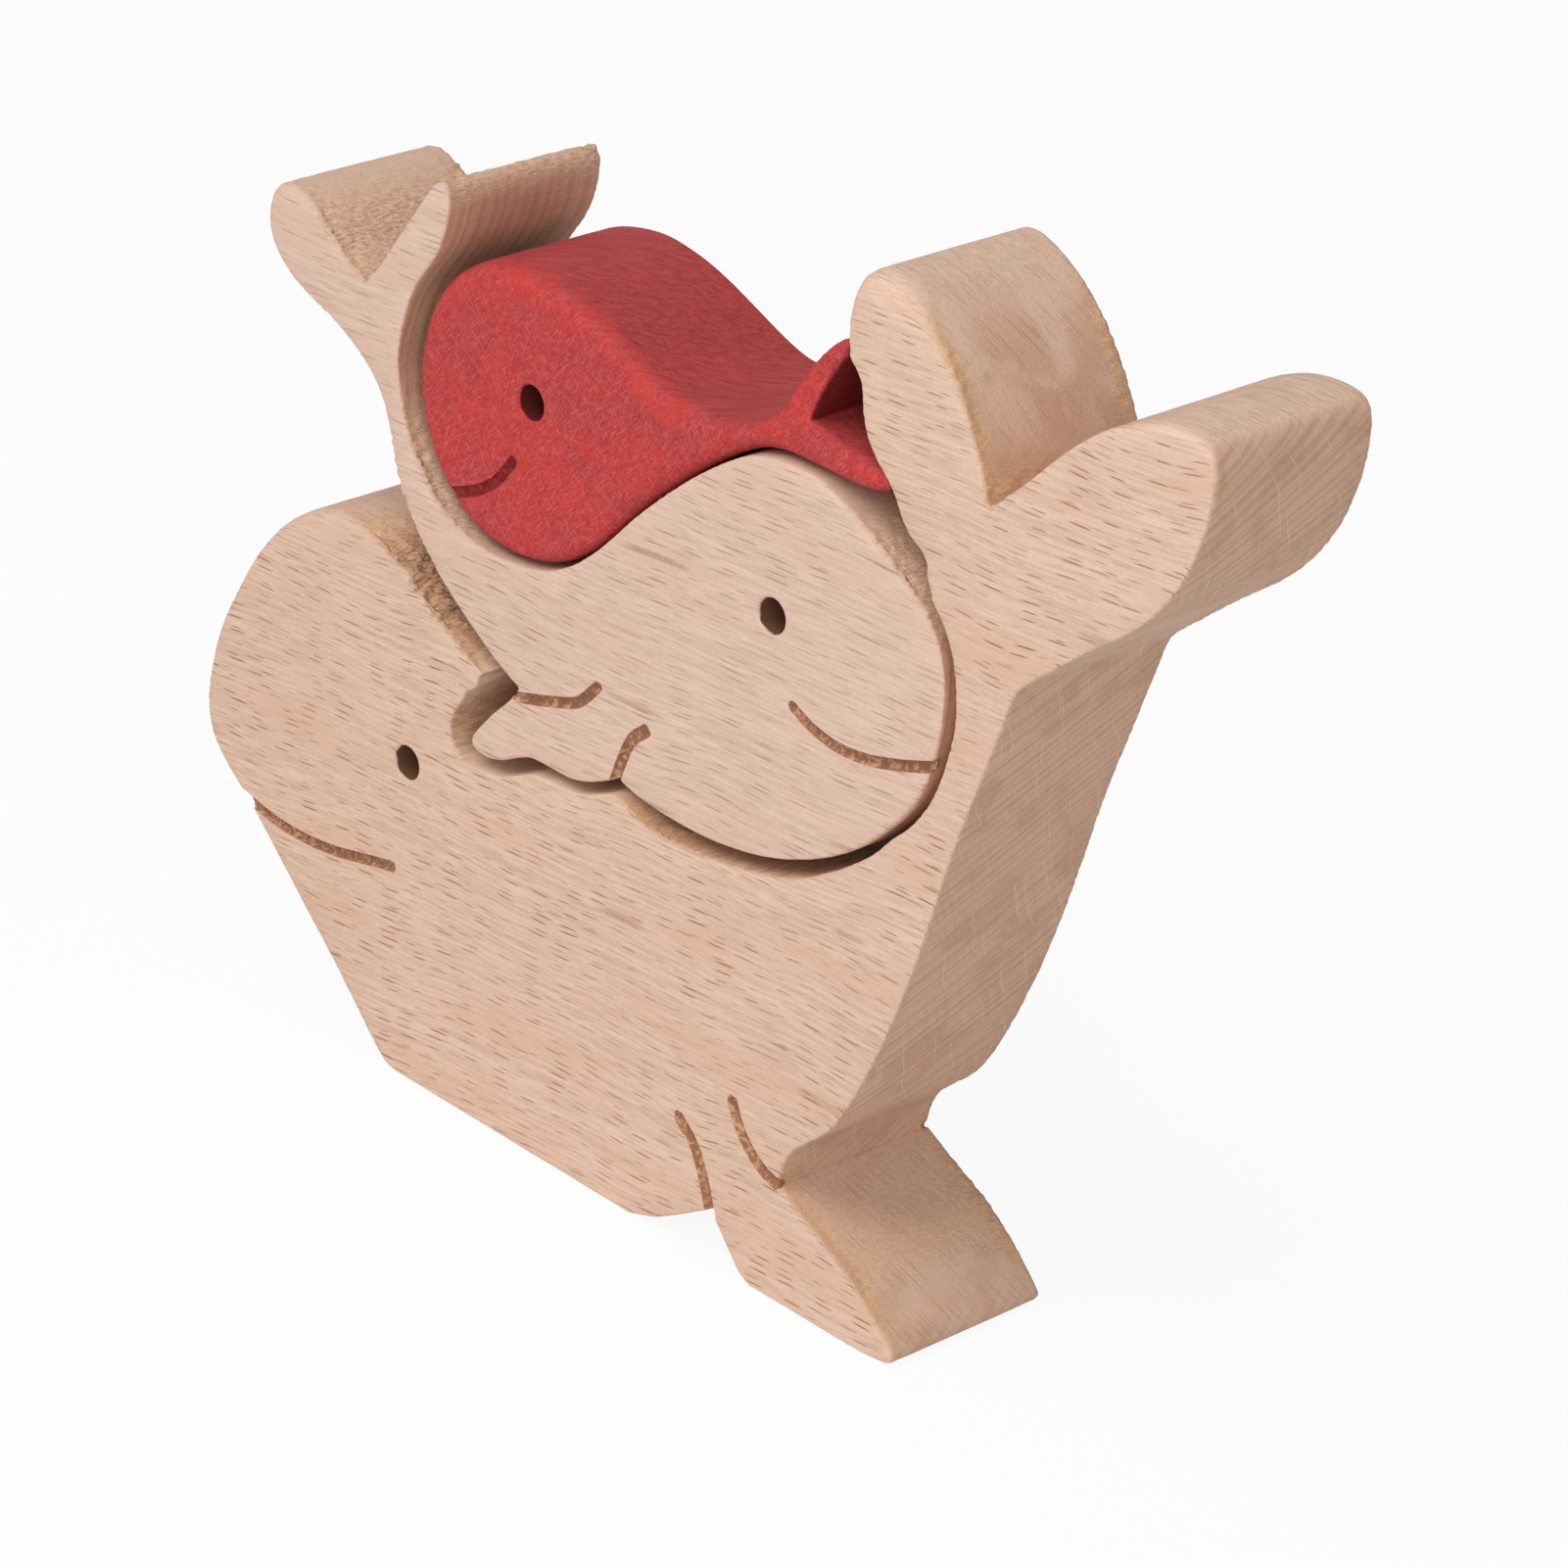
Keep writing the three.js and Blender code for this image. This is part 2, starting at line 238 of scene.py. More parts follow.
def turns(loop):
    """How sharply a loop turns at each of its points."""
    before = loop - np.roll(loop, 1, axis=0)
    after = np.roll(loop, -1, axis=0) - loop
    cross = before[:, 0] * after[:, 1] - before[:, 1] * after[:, 0]
    return np.arctan2(cross, np.sum(before * after, axis=1))


def smooth_outline(loop, soft_corners):
    """A faceted loop as an even, curved one that keeps its corners and its straight runs."""
    lengths = np.linalg.norm(np.roll(loop, -1, axis=0) - loop, axis=1)
    long_run = lengths > STRAIGHT_RUN
    is_corner = (np.abs(turns(loop)) > CORNER_TURN) | long_run | np.roll(long_run, 1)
    corners = np.flatnonzero(is_corner)
    stretches = []
    for start, end in zip(corners, np.roll(corners, -1)):
        count = (end - start) % len(loop) or len(loop)
        run = loop[(start + np.arange(count + 1)) % len(loop)]
        stretches.append(even_points(curve_through(run), OUTLINE_STEP)[:-1])
    outline = np.concatenate(stretches)
    for across, up, reach in soft_corners:
        share = nearness(outline, across, up, reach)[:, None]
        for _ in range(CORNER_PASSES):
            middle = (np.roll(outline, 1, axis=0) + np.roll(outline, -1, axis=0)) / 2
            outline = outline + share * (middle - outline)
    return outline


def curve_through(points):
    """A smooth open curve through points, with its knots spaced by the square root of distance."""
    if len(points) < 3:
        return points
    ends = (2 * points[0] - points[1], 2 * points[-1] - points[-2])
    p = np.concatenate([[ends[0]], points, [ends[1]]])
    knots = np.concatenate([[0], np.cumsum(np.sqrt(np.linalg.norm(np.diff(p, axis=0), axis=1)))])
    curve = []
    for i in range(1, len(p) - 2):
        t = np.linspace(knots[i], knots[i + 1], CURVE_CUTS, endpoint=False)[:, None]
        a = [between(p[i - 1 + k], p[i + k], knots[i - 1 + k], knots[i + k], t) for k in range(3)]
        b = [between(a[k], a[k + 1], knots[i - 1 + k], knots[i + 1 + k], t) for k in range(2)]
        curve.append(between(b[0], b[1], knots[i], knots[i + 1], t))
    return np.concatenate([*curve, [points[-1]]])


def between(a, b, start, end, t):
    return ((end - t) * a + (t - start) * b) / (end - start)


def even_points(points, step):
    """Points at an even step along an open line."""
    along = np.concatenate([[0], np.cumsum(np.linalg.norm(np.diff(points, axis=0), axis=1))])
    wanted = np.linspace(0, along[-1], max(2, round(along[-1] / step) + 1))
    return np.column_stack([np.interp(wanted, along, points[:, k]) for k in range(2)])


def outward_normals(loop):
    along = np.roll(loop, -1, axis=0) - np.roll(loop, 1, axis=0)
    along /= np.linalg.norm(along, axis=1)[:, None]
    return np.column_stack([along[:, 1], -along[:, 0]])


def nearest_on(points, line, closed=True):
    """Distance from each point to a line, and the number of the line's nearest point."""
    start = line if closed else line[:-1]
    end = np.roll(line, -1, axis=0) if closed else line[1:]
    edge = end - start
    edge_squared = np.maximum(np.sum(edge * edge, axis=1), 1e-12)
    distances = np.empty(len(points))
    nearest = np.empty(len(points), int)
    for low in range(0, len(points), BATCH):
        batch = slice(low, low + BATCH)
        part = points[batch, None, :] - start[None]
        share = np.clip(np.sum(part * edge, axis=2) / edge_squared, 0, 1)
        gap = np.linalg.norm(part - share[..., None] * edge, axis=2)
        best = np.argmin(gap, axis=1)
        rows = np.arange(len(best))
        distances[batch] = gap[rows, best]
        nearest[batch] = (best + (share[rows, best] > 0.5)) % len(line)
    return distances, nearest


def is_inside(points, loop):
    """Whether each point lies within a closed loop."""
    inside = np.zeros(len(points), bool)
    for a, b in zip(loop, np.roll(loop, -1, axis=0)):
        crosses = (a[1] > points[:, 1]) != (b[1] > points[:, 1])
        if crosses.any():
            level = (points[:, 1] - a[1]) / (b[1] - a[1])
            inside ^= crosses & (points[:, 0] < a[0] + level * (b[0] - a[0]))
    return inside


def rough(points, size, seed):
    """Smooth unevenness from 0 to 1 at points, with bumps of about that size."""
    layer = Vector((0, 0, seed))
    return np.array([0.5 + 0.5 * noise.noise(Vector((*p, 0)) / size + layer) for p in points])


def torn_bits(points, size, seed):
    """Unevenness from 0 to 1 with steeper bits and flat stretches between them."""
    return np.clip(2.2 * rough(points, size, seed) - 0.6, 0, 1)


def nearness(points, across, up, reach):
    """How near points are to a place, from 1 at the place down to 0 well out of its reach."""
    far = np.linalg.norm(points - (across, up), axis=1) / reach
    return np.exp(-far * far)


# Whales

class Whale:
    """One sawn and sanded whale: its outline, edges and cut lines, and the mesh made of them."""

    # What each point of the mesh tells the wood about its finish and about the painted light, shade
    # and highlight on it; run is its way along the outline
    MASKS = ("sawn", "end_grain", "bed", "smoothed", "rim", "worn", "torn", "deep", "cloudy", "cut",
             "hole", "run")

    def __init__(self, node, seed, edge, soft_places, lines, torn_places=(), eased_places=(),
                 cloudy_places=(), soft_corners=()):
        low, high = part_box(node)
        loops = cross_section(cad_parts[node])
        self.node = node
        self.seed = seed
        self.low = np.array(low) / MM
        self.high = np.array(high) / MM
        self.half = (self.high[1] - self.low[1]) / 2
        self.outline = smooth_outline(loops[0], soft_corners)
        for across, up, reach, depth in eased_places:
            eased = depth * nearness(self.outline, across, up, reach)
            self.outline = self.outline - outward_normals(self.outline) * eased[:, None]
        self.count = len(self.outline)
        self.normals = outward_normals(self.outline)
        self.ends = np.abs(self.normals[:, 0])
        steps = np.linalg.norm(np.diff(self.outline, axis=0), axis=1)
        self.run = np.concatenate([[0], np.cumsum(steps)])
        self.lines = [(half_width, even_points(curve_through(np.array(points, float)), LINE_STEP))
                      for half_width, points in lines]
        eye_low, eye_high = loops[1].min(axis=0), loops[1].max(axis=0)
        self.eye_place = (eye_low + eye_high) / 2
        self.eye_radius = np.mean(eye_high - eye_low) / 2
        self.front_edge = self.edge_radii(edge, soft_places)
        self.back_edge = self.edge_radii(edge, ())
        self.bed = np.zeros(self.count)
        self.smoothed = np.zeros(self.count)
        self.cloudy = np.zeros(self.count)
        for across, up, reach in cloudy_places:
            self.cloudy = np.maximum(self.cloudy, nearness(self.outline, across, up, reach))
        self.tear(torn_places)
        self.vertices = []
        self.faces = []
        self.masks = {name: [] for name in self.MASKS}

    def tear(self, torn_places):
        """Marks how much and how deep the wall is torn, at its rims and all the way through."""
        self.torn = np.zeros(self.count)
        self.torn_through = np.zeros(self.count)
        self.torn_depth = RIM_FUZZ * self.ends
        self.torn_depth_through = np.zeros(self.count)
        uneven = 0.6 + 0.4 * rough(self.outline, TEARING_BUMPS, self.seed)
        for across, up, reach, depth, share in torn_places:
            near = nearness(self.outline, across, up, reach)
            deep_through = depth * near * share ** 2
            self.torn = np.maximum(self.torn, near * uneven)
            self.torn_through = np.maximum(self.torn_through, near * uneven * share)
            self.torn_depth = np.maximum(self.torn_depth, depth * near)
            self.torn_depth_through = np.maximum(self.torn_depth_through, deep_through)

    def edge_radii(self, edge, soft_places):
        """Radius of the sanded edge at each point of the outline."""
        radii = np.full(self.count, float(edge))
        for across, up, radius, reach in soft_places:
            radii += (radius - radii) * nearness(self.outline, across, up, reach)
        uneven = rough(self.outline, SANDING_BUMPS, self.seed)
        return radii * (1 - SANDING_SHARE / 2 + SANDING_SHARE * uneven)

    def lay_bed(self, neighbour, smoothed_places=()):
        """Marks the wall that a smaller whale lies in, which keeps its saw marks."""
        distance, nearest = nearest_on(self.outline, neighbour.outline)
        towards = neighbour.outline[nearest] - self.outline
        faces_it = np.sum(towards * self.normals, axis=1) > BED_FACING * distance
        bed = np.clip((BED_REACH - distance) / BED_FADE, 0, 1) * faces_it
        # Smoothed places lose the bed's saw marks and are marked for the pale tone that paints
        # light into the slots
        for across, up, reach in smoothed_places:
            near = nearness(self.outline, across, up, reach)
            bed *= 1 - near
            self.smoothed = np.maximum(self.smoothed, near * faces_it)
        self.bed = np.maximum(self.bed, bed)

    def keep(self, places, **values):
        """Adds vertices with the masks of their finish, and gives their numbers."""
        first = sum(len(block) for block in self.vertices)
        self.vertices.append(places)
        for name, blocks in self.masks.items():
            blocks.append(np.broadcast_to(values.get(name, 0.0), len(places)))
        return first + np.arange(len(places))

    def build(self):
        front = self.add_face(-1, self.front_edge)
        back = self.add_face(1, self.back_edge)
        self.add_wall(front[:self.count], back[:self.count])
        eye = slice(self.count, self.count + EYE_SIDES)
        self.add_eye(front[eye], back[eye])
        return self.finish_mesh()

    def eye_ring(self, offset=0.0):
        """The ragged rim of the drilled eye, or a ring at an offset round it."""
        angles = np.linspace(0, 2 * math.pi, EYE_SIDES, endpoint=False)
        ring = np.column_stack([np.cos(angles), np.sin(angles)])
        ragged = 1 + EYE_RAGGEDNESS * (2 * rough(ring, EYE_BUMPS, self.seed) - 1)
        return self.eye_place + ring * (self.eye_radius * ragged + offset)[:, None]

    def face_points(self, edge):
        """Points of a face: its outline, the rim of its eye, then the points between them."""
        inner = [self.face_grid(edge)]
        last = np.zeros(self.count)
        for angle in EDGE_ANGLES:
            inset = edge * (1 - math.cos(math.radians(angle)))
            ring = self.outline - self.normals * inset[:, None]
            distance, _ = nearest_on(ring, self.outline)
            wanted = inset - last > EDGE_STEP
            inner.append(ring[wanted & (distance > 0.9 * inset)])
            last = np.where(wanted, inset, last)
        for half_width, line in self.lines:
            inner += self.beside_line(line, half_width)
        for share in EYE_RINGS:
            inner.append(self.eye_ring(share * EYE_EDGE))
        inner = np.concatenate(inner)
        in_eye = is_inside(inner, self.eye_ring(EYE_CLEARANCE))
        inner = inner[is_inside(inner, self.outline) & ~in_eye]
        distance, _ = nearest_on(inner, self.outline)
        inner = inner[distance > OUTLINE_CLEARANCE]
        cells = np.round(inner / POINT_CLEARANCE).astype(int)
        _, first = np.unique(cells, axis=0, return_index=True)
        return np.concatenate([self.outline, self.eye_ring(), inner[np.sort(first)]])

    @staticmethod
    def beside_line(line, half_width):
        """Rows of points along a cut line and a little past its ends."""
        past = np.arange(1, 1 + round(2 * half_width / LINE_STEP))[:, None]
        before_start = line[0] + past[::-1] * (line[0] - line[1])
        after_end = line[-1] + past * (line[-1] - line[-2])
        line = np.concatenate([before_start, line, after_end])
        along = np.gradient(line, axis=0)
        along /= np.linalg.norm(along, axis=1)[:, None]
        side = np.column_stack([-along[:, 1], along[:, 0]]) * half_width
        rows = [line + side * share for share in LINE_SIDES]
        return rows + [line - side * share for share in LINE_SIDES[1:]]

    def face_grid(self, edge):
        """An even grid over the flat part of a face, clear of its edges, lines and eye."""
        low = self.outline.min(axis=0)
        high = self.outline.max(axis=0)
        across, up = np.meshgrid(np.arange(low[0], high[0], FACE_GRID),
                                 np.arange(low[1], high[1], FACE_GRID))
        across = across + FACE_GRID / 2 * (np.arange(len(across)) % 2)[:, None]
        grid = np.column_stack([across.ravel(), up.ravel()])
        distance, nearest = nearest_on(grid, self.outline)
        clear = distance > edge[nearest] + GRID_FROM_EDGE
        from_eye = np.linalg.norm(grid - self.eye_place, axis=1)
        clear &= from_eye > self.eye_radius + GRID_FROM_EYE
        for half_width, line in self.lines:
            clear &= nearest_on(grid, line, closed=False)[0] > GRID_FROM_LINE * half_width
        return grid[clear]

    def in_lines(self, points):
        """How deep in a cut line each point lies, from 0 beside it to 1 at its bottom."""
        depth = np.zeros(len(points))
        for half_width, line in self.lines:
            distance, _ = nearest_on(points, line, closed=False)
            ragged = distance + LINE_RAGGEDNESS * (2 * rough(points, LINE_BUMPS, self.seed) - 1)
            profile = np.clip(1 - (ragged / half_width) ** LINE_SQUARENESS, 0, 1)
            depth = np.maximum(depth, profile ** LINE_STEEPNESS)
        return depth

    def add_face(self, side, edge):
        """One flat face with its rounded edge, its lines and the rim of its eye."""
        points = self.face_points(edge)
        distance, nearest = nearest_on(points, self.outline)
        radius = edge[nearest]
        inset = np.clip(radius - distance, 0, None)
        rounding = radius - np.sqrt(radius ** 2 - inset ** 2)
        from_eye = np.linalg.norm(points - self.eye_place, axis=1) - self.eye_radius
        eye_inset = np.clip(EYE_EDGE - from_eye, 0, EYE_EDGE)
        eye_rounding = EYE_EDGE - np.sqrt(EYE_EDGE ** 2 - eye_inset ** 2)
        cut = self.in_lines(points)
        depth = np.maximum(np.maximum(rounding, eye_rounding), cut * LINE_DEPTH)
        wall_share = np.clip(1.3 * inset / radius - 0.3, 0, 1) ** 2
        torn_depth = self.torn_depth[nearest]
        at_rim = np.exp(-(distance / (RIM_WIDTH + torn_depth)) ** 2)
        ragged = torn_depth * at_rim * torn_bits(points, RIM_BUMPS, side)
        moved = points - self.normals[nearest] * ragged[:, None]
        places = np.column_stack([moved[:, 0], side * (self.half - depth), moved[:, 1]])
        # A painted highlight on the front face near edges that face up, where light from above
        # catches the ridge
        faces_up = np.clip(self.normals[nearest, 1], 0, 1)
        worn = np.exp(-((distance - WORN_MIDDLE) / WORN_REACH) ** 2) * faces_up * (side < 0)
        numbers = self.keep(
            places, sawn=wall_share, end_grain=self.ends[nearest] * wall_share,
            bed=self.bed[nearest] * wall_share, smoothed=self.smoothed[nearest] * wall_share,
            rim=np.exp(-(distance / RIM_WIDTH) ** 2), worn=worn, torn=self.torn[nearest],
            deep=torn_depth, cloudy=self.cloudy[nearest], cut=cut, run=self.run[nearest],
        )
        for triangle in self.triangles(points):
            corners = triangle if side < 0 else triangle[::-1]
            self.faces.append([int(numbers[i]) for i in corners])
        return numbers

    def triangles(self, points):
        """A face cut into triangles that keep to its outline and leave its eye open."""
        edges = [(i, (i + 1) % self.count) for i in range(self.count)]
        edges += [(self.count + i, self.count + (i + 1) % EYE_SIDES) for i in range(EYE_SIDES)]
        cut = delaunay_2d_cdt([Vector(p) for p in points], edges, [], 0, 1e-6)
        original = [group[0] for group in cut[3]]
        found = np.array([[original[i] for i in triangle] for triangle in cut[2]])
        middle = points[found].mean(axis=1)
        return found[is_inside(middle, self.outline) & ~is_inside(middle, self.eye_ring())].tolist()

    def add_wall(self, front, back):
        """The sawn wall round the whale, from the front rim to the back rim."""
        placed = np.concatenate(self.vertices)
        start = placed[front]
        end = placed[back]
        rings = [front]
        for step in range(1, WALL_RINGS):
            share = step / WALL_RINGS
            ring = start + (end - start) * share
            across_wall = np.column_stack([self.run, ring[:, 1]])
            to_rim = min(share, 1 - share) * 2 * self.half
            rim = math.exp(-(to_rim / RIM_TEARING) ** 2)
            near_rim = start if share < 0.5 else end
            carried = math.exp(-(to_rim / RIM_CARRY) ** 2)
            ring[:, [0, 2]] = self.outline + (near_rim[:, [0, 2]] - self.outline) * carried
            saw = SAW_DEPTH * rough(across_wall * SAW_SLANT, SAW_BUMPS, self.seed)
            torn_depth = self.torn_depth_through + (self.torn_depth - self.torn_depth_through) * rim
            inward = saw + torn_depth * torn_bits(across_wall, WALL_BUMPS, self.seed)
            ring[:, [0, 2]] -= self.normals * inward[:, None]
            torn = self.torn_through + (self.torn - self.torn_through) * rim
            rings.append(self.keep(
                ring, sawn=1.0, end_grain=self.ends, bed=self.bed, smoothed=self.smoothed, rim=rim,
                torn=torn, deep=self.torn_depth, cloudy=self.cloudy, run=self.run,
            ))
        rings.append(back)
        self.stitch(rings, outward=True)

    def add_eye(self, front, back):
        """The drilled wall of the eye."""
        placed = np.concatenate(self.vertices)
        rings = [front]
        for share in EYE_DEPTHS:
            ring = placed[front] + (placed[back] - placed[front]) * share
            # These points take the dark tone that paints the shade in the hole
            rings.append(self.keep(ring, sawn=1.0, end_grain=EYE_END_GRAIN, hole=1.0))
        rings.append(back)
        self.stitch(rings, outward=False)

    def stitch(self, rings, outward):
        for near, far in zip(rings, rings[1:]):
            for a, b, c, d in zip(near, far, np.roll(far, -1), np.roll(near, -1)):
                corners = [int(a), int(b), int(c), int(d)]
                self.faces.append(corners if outward else corners[::-1])

    def finish_mesh(self):
        places = np.clip(np.concatenate(self.vertices), self.low, self.high)
        mesh = bpy.data.meshes.new(self.node + "_carved")
        mesh.from_pydata((places * MM).tolist(), [], self.faces)
        for name, blocks in self.masks.items():
            layer = mesh.attributes.new(name, "FLOAT", "POINT")
            layer.data.foreach_set("value", np.concatenate(blocks).astype(np.float32))
        mesh.polygons.foreach_set("use_smooth", np.ones(len(mesh.polygons), bool))
        mesh.set_sharp_from_angle(angle=SHARP_ANGLE)
        mesh.update()
        whale = bpy.data.objects.new(self.node + "_carved", mesh)
        bpy.context.scene.collection.objects.link(whale)
        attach(whale, self.node)
        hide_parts(self.node)
        return whale


# Shader helpers

def wire(tree, kind, inputs=None, **settings):
    """A node with its settings, its inputs set to values or linked to other nodes' outputs."""
    node = tree.nodes.new(kind)
    for name, value in settings.items():
        setattr(node, name, value)
    for name, value in (inputs or {}).items():
        if isinstance(value, bpy.types.NodeSocket):
            tree.links.new(value, node.inputs[name])
        else:
            node.inputs[name].default_value = value
    return node


def calculate(tree, operation, *values):
    return wire(tree, "ShaderNodeMath", dict(enumerate(values)), operation=operation).outputs[0]


def vector_math(tree, operation, *values):
    inputs = dict(enumerate(values))
    return wire(tree, "ShaderNodeVectorMath", inputs, operation=operation).outputs[0]


def product(tree, first, *others):
    for other in others:
        first = calculate(tree, "MULTIPLY", first, other)
    return first


def ranged(tree, value, low, high, to_low=0.0, to_high=1.0):
    """A value's range turned into another range, smoothly and held at its ends."""
    inputs = {0: value, 1: low, 2: high, 3: to_low, 4: to_high}
    return wire(tree, "ShaderNodeMapRange", inputs, interpolation_type="SMOOTHSTEP").outputs[0]


def noisy(tree, place, **values):
    inputs = {"Vector": place, **{name.capitalize(): value for name, value in values.items()}}
    return wire(tree, "ShaderNodeTexNoise", inputs).outputs[0]


def noisy_line(tree, along, **values):
    inputs = {"W": along, **{name.capitalize(): value for name, value in values.items()}}
    return wire(tree, "ShaderNodeTexNoise", inputs, noise_dimensions="1D").outputs[0]


def dashes(tree, along, beside, gaps, lengths, widths, scatter=1.0):
    """Scattered dashes with soft ends, and the chances from 0 to 1 that go with each of them."""
    place = stretched(tree, (along, gaps[0]), (beside, gaps[1]))
    inputs = {"Vector": place, "Scale": 1.0, "Randomness": scatter}
    spots = wire(tree, "ShaderNodeTexVoronoi", inputs, voronoi_dimensions="2D").outputs
    chances = wire(tree, "ShaderNodeSeparateColor", {0: spots["Color"]}).outputs
    away = vector_math(tree, "SUBTRACT", place, spots["Position"])
    away = wire(tree, "ShaderNodeSeparateXYZ", {0: away}).outputs
    size = ranged(tree, chances[1], 0.0, 1.0, 0.3, 0.7)
    soft = []
    for part, gap, length in ((away["X"], gaps[0], lengths), (away["Y"], gaps[1], widths)):
        distance = product(tree, calculate(tree, "ABSOLUTE", part), gap)
        half = product(tree, size, length)
        soft.append(ranged(tree, distance, product(tree, half, 0.3), half, 1.0, 0.0))
    return product(tree, *soft), chances


def stretched(tree, *parts):
    """A place made of pairs of a value and the length that it is measured in."""
    values = [calculate(tree, "DIVIDE", value, length) for value, length in parts]
    return wire(tree, "ShaderNodeCombineXYZ", dict(enumerate(values))).outputs[0]


def turned(tree, a, b, angle):
    """Two values turned by an angle, as the two parts of a vector in a plane are."""
    cosine = calculate(tree, "COSINE", angle)
    sine = calculate(tree, "SINE", angle)
    along = calculate(tree, "MULTIPLY_ADD", a, cosine, product(tree, b, sine))
    beside = calculate(tree, "SUBTRACT", product(tree, b, cosine), product(tree, a, sine))
    return along, beside


def blend(tree, share, a, b):
    return wire(tree, "ShaderNodeMix", {0: share, 6: a, 7: b}, data_type="RGBA").outputs[2]


def mask(tree, name):
    return wire(tree, "ShaderNodeAttribute", attribute_name=name).outputs["Fac"]


def colour(red, green, blue):
    """A screen colour from 0 to 255 as the linear colour that a shader takes."""
    parts = [value / 255 for value in (red, green, blue)]
    linear = [p / 12.92 if p <= 0.04045 else ((p + 0.055) / 1.055) ** 2.4 for p in parts]
    return (*linear, 1.0)


def new_group(name, inputs, outputs):
    """A shader node group with its sockets, and the sockets to read from and to put out to."""
    group = bpy.data.node_groups.new(name, "ShaderNodeTree")
    for label, kind, value in inputs:
        socket = group.interface.new_socket(label, in_out="INPUT", socket_type=kind)
        if value is not None:
            socket.default_value = value
    for label in outputs:
        group.interface.new_socket(label, in_out="OUTPUT", socket_type="NodeSocketFloat")
    start = group.nodes.new("NodeGroupInput")
    end = group.nodes.new("NodeGroupOutput")
    return group, start.outputs, end.inputs


def put_out(group, result, values):
    for name, value in values.items():
        group.links.new(value, result[name])


def in_millimetres(tree, place):
    return wire(tree, "ShaderNodeVectorMath", {0: place, 3: 1 / MM}, operation="SCALE").outputs[0]


# Grain, in millimetres: how far it drifts, flecks and streaks along it, rings and rays across it
GRAIN_DRIFT = (0.0, 3.0, 5.0)
FLECK_SPACING = 1.7
STREAK_GAPS = (42.0, 3.4)
STREAK_SIZE = (12.0, 0.9)
RING_UNEVENNESS = 1.6
RAY_SWAY = 3.0
RAY_GAP = 2.4
BLADE_SLANT = 0.1


def beech_figure():
    """The wood itself: flecks and fibres along the grain, rings, rays and blotches across it."""
    group, given, result = new_group(
        "beech_figure",
        [
            ("Place", "NodeSocketVector", None),
            ("Grain Rise", "NodeSocketFloat", 0.07),
            ("Grain Turn", "NodeSocketFloat", 0.0),
            ("Ring Slope", "NodeSocketFloat", 0.5),
            ("Ring Width", "NodeSocketFloat", 1.5),
            ("Fleck Length", "NodeSocketFloat", 3.5),
            ("Fleck Width", "NodeSocketFloat", 0.13),
            ("Fleck Gap", "NodeSocketFloat", 0.5),
        ],
        ["Flecks", "Streaks", "Fibres", "Warmth", "Rings", "Rays", "Blotches"],
    )
    place = in_millimetres(group, given["Place"])
    inputs = {"Vector": place, "Scale": 0.02, "Detail": 2.0}
    drift = wire(group, "ShaderNodeTexNoise", inputs).outputs["Color"]
    centred = vector_math(group, "SUBTRACT", drift, (0.5, 0.5, 0.5))
    drifted = vector_math(group, "MULTIPLY_ADD", centred, GRAIN_DRIFT, place)
    x, y, z = wire(group, "ShaderNodeSeparateXYZ", {0: drifted}).outputs
    x, y = turned(group, x, y, given["Grain Turn"])
    z = calculate(group, "SUBTRACT", z, product(group, x, given["Grain Rise"]))
    along_ring, outward = turned(group, y, z, given["Ring Slope"])

    gaps = (product(group, given["Fleck Length"], FLECK_SPACING), given["Fleck Gap"])
    fleck, chances = dashes(group, x, along_ring, gaps, given["Fleck Length"],
                            given["Fleck Width"], scatter=0.9)
    crowd = noisy(group, place, scale=0.05, detail=2.0)
    fleck = product(group, fleck, ranged(group, chances[0], 0.0, 0.8, 0.3, 1.0),
                    ranged(group, crowd, 0.36, 0.6, 0.65, 1.0))

    streak, chances = dashes(group, x, along_ring, STREAK_GAPS, *STREAK_SIZE)
    streak = product(group, streak, ranged(group, chances[0], 0.72, 0.95))

    strands = stretched(group, (x, 11.0), (y, 0.6), (z, 0.42))
    fibres = noisy(group, strands, scale=1.0, detail=4.0, roughness=0.65)
    clouds = stretched(group, (x, 40.0), (y, 14.0), (z, 9.0))
    warmth = noisy(group, clouds, scale=1.0, detail=3.0)

    years = calculate(group, "DIVIDE", outward, given["Ring Width"])
    uneven = noisy_line(group, outward, scale=0.3, detail=2.0)
    years = calculate(group, "MULTIPLY_ADD", uneven, RING_UNEVENNESS, years)
    through = calculate(group, "FRACT", years)
    strength = ranged(group, noisy_line(group, outward, scale=0.9), 0.35, 0.65, 0.35, 1.0)
    ring = product(group, ranged(group, through, 0.0, 0.7),
                   ranged(group, through, 0.6, 1.0, 1.0, 0.0), strength)

    bends = stretched(group, (outward, 9.0), (x, 30.0), (y, 40.0))
    sway = noisy(group, bends, scale=1.0, detail=1.0)
    swayed = calculate(group, "MULTIPLY_ADD", sway, RAY_SWAY, along_ring)
    inputs = {"W": calculate(group, "DIVIDE", swayed, RAY_GAP), "Scale": 1.0}
    row = wire(group, "ShaderNodeTexVoronoi", inputs, voronoi_dimensions="1D").outputs["Distance"]
    breaks = stretched(group, (swayed, 1.6), (outward, 8.0), (x, 9.0))
    broken = noisy(group, breaks, scale=1.0, detail=1.0)
    rays = product(group, ranged(group, row, 0.015, 0.05, 1.0, 0.0),
                   ranged(group, broken, 0.45, 0.6))
    blotches = noisy(group, place, scale=0.13, detail=4.0, distortion=0.6)

    put_out(group, result, {
        "Flecks": fleck, "Streaks": streak, "Fibres": fibres, "Warmth": warmth, "Rings": ring,
        "Rays": rays, "Blotches": blotches,
    })
    return group


